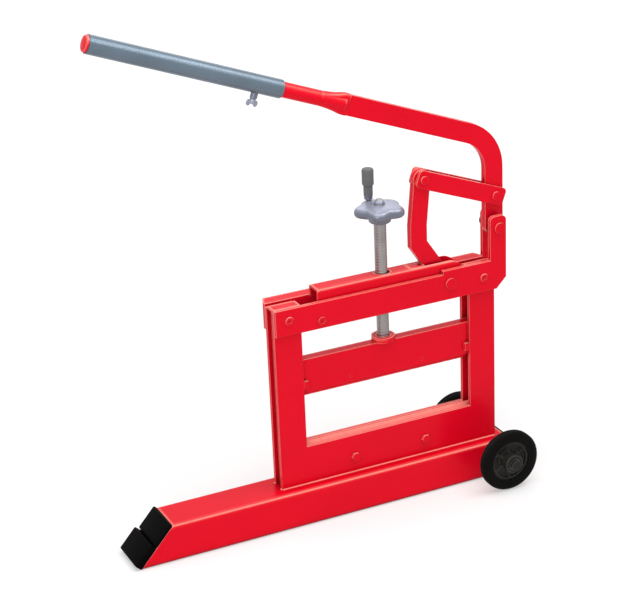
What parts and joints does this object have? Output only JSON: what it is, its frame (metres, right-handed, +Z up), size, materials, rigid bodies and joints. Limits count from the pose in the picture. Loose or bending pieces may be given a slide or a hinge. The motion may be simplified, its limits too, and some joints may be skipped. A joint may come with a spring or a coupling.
{
  "type": "masonry block splitter",
  "caption": "Hand lever masonry block splitter: slant-toed base tube on wheels, portal frame, screw-set blade beam pressed down by a cranked lever, link and rocker.",
  "frame": {"origin": "on the underside of the base tube, straight below the spindle axis, midway across the tube", "axes": "+Z up; +X along the base from the slanted toe towards the wheels; -Y is the front, which the camera in the picture sees"},
  "size_m": [0.8708, 0.282, 1.0601],
  "materials": {
    "paint": "gloss red paint",
    "black_plastic": "satin black",
    "tyre_rubber": "matte black rubber",
    "bare_steel": "machined",
    "bronze": "plain bearing bronze",
    "zinc_cast": "zinc plated",
    "dark_steel": "blackened",
    "grip_grey": "satin grey sleeve",
    "crank_plastic": "satin dark grey"
  },
  "bodies": {
    "frame": {"base_beam": "paint", "toe_pad_upper": "black_plastic", "toe_pad_lower": "black_plastic", "rear_plug": "black_plastic", "front_frame": "paint", "back_frame": "paint", "left_upright": "paint", "right_upright": "paint", "upright_caps": "paint", "lower_plate_front": "paint", "lower_plate_back": "paint", "lower_blade": "paint", "lower_bolts": "paint", "head_plate_front": "paint", "head_plate_back": "paint", "head_bolts": "paint", "stop_sleeve": "bare_steel", "stop_bolt": "paint", "rocker_pin_bolt": "paint", "lever_pin_bolt": "paint", "pin_clips": "dark_steel", "spring_seat": "paint", "return_spring": "bare_steel", "axle": "bare_steel", "axle_sleeves": "paint", "axle_caps": "black_plastic"},
    "lever": {"lever_bar": "paint", "lever_hub": "paint", "handle_tube": "paint", "handle_root": "paint"},
    "grip": {"grip_tube": "grip_grey", "grip_plug": "paint", "clamp_nut": "zinc_cast"},
    "clamp_screw": {"wing_screw": "zinc_cast"},
    "link": {"strap_front": "paint", "strap_back": "paint", "lever_link_pin": "paint"},
    "rocker": {"rocker_channel": "paint", "crank_arm": "paint", "rocker_hub": "paint", "rocker_link_pin": "paint"},
    "screw_nut": {"spindle_nut": "bare_steel"},
    "blade_carrier": {"blade_beam": "paint", "upper_blade": "paint", "blade_bolts": "paint", "thrust_housing": "paint", "thrust_cover": "paint", "guide_pads": "paint"},
    "spindle_set": {"spindle": "bare_steel", "handwheel": "zinc_cast", "cap_nut_top": "zinc_cast", "crank_pin": "zinc_cast"},
    "crank_handle": {"crank_grip": "crank_plastic"},
    "near_wheel": {"near_tyre": "tyre_rubber", "near_hub": "black_plastic", "near_bush": "bronze"},
    "far_wheel": {"far_tyre": "tyre_rubber", "far_hub": "black_plastic", "far_bush": "bronze"}
  },
  "joints": [
    {"name": "lever_press", "type": "hinge", "parent": "frame", "child": "lever", "pos_m": [0.254, 0, 0.545], "axis": [0, -1, 0], "range_deg": [0, 15], "stiffness_Nm_per_rad": 20, "springref_deg": -74.48},
    {"name": "link_swing", "type": "hinge", "parent": "lever", "child": "link", "pos_m": [0.254, 0, 0.61], "axis": [0, -1, 0], "range_deg": [-14.18, 0]},
    {"name": "rocker_swing", "type": "hinge", "parent": "frame", "child": "rocker", "pos_m": [0.14, 0, 0.449], "axis": [0, -1, 0], "range_deg": [0, 4.6], "deforming": ["return_spring"]},
    {"name": "nut_travel", "type": "slide", "parent": "frame", "child": "screw_nut", "axis": [0, 0, 1], "range_m": [-0.01124, 0]},
    {"name": "beam_height", "type": "slide", "parent": "screw_nut", "child": "blade_carrier", "axis": [0, 0, 1], "range_m": [-0.08401, 0.02401]},
    {"name": "spindle_turn", "type": "hinge", "parent": "blade_carrier", "child": "spindle_set", "pos_m": [0, 0, 0.36], "axis": [0, 0, 1], "range_deg": [-5040, 1440]},
    {"name": "crank_spin", "type": "hinge", "parent": "spindle_set", "child": "crank_handle", "pos_m": [-0.00408, 0.03879, 0.68], "axis": [0, 0, 1], "continuous": true},
    {"name": "grip_extend", "type": "slide", "parent": "lever", "child": "grip", "axis": [-0.9336, 0, 0.3584], "range_m": [-0.085, 0.15]},
    {"name": "clamp_turn", "type": "hinge", "parent": "grip", "child": "clamp_screw", "pos_m": [-0.2518, 0, 0.89884], "axis": [-0.3584, 0, -0.9336], "range_deg": [-360, 0]},
    {"name": "near_wheel_spin", "type": "hinge", "parent": "frame", "child": "near_wheel", "pos_m": [0.227, -0.108, 0.066], "axis": [0, 1, 0], "continuous": true},
    {"name": "far_wheel_spin", "type": "hinge", "parent": "frame", "child": "far_wheel", "pos_m": [0.227, 0.108, 0.066], "axis": [0, 1, 0], "continuous": true}
  ],
  "couplings": [
    {"joint": "link_swing", "follows": "lever_press", "ratio": -0.94487},
    {"joint": "rocker_swing", "follows": "lever_press", "ratio": 0.30617},
    {"joint": "nut_travel", "follows": "lever_press", "m_per_rad": -0.042882},
    {"joint": "beam_height", "follows": "spindle_turn", "m_per_rad": 0.00095493}
  ]
}
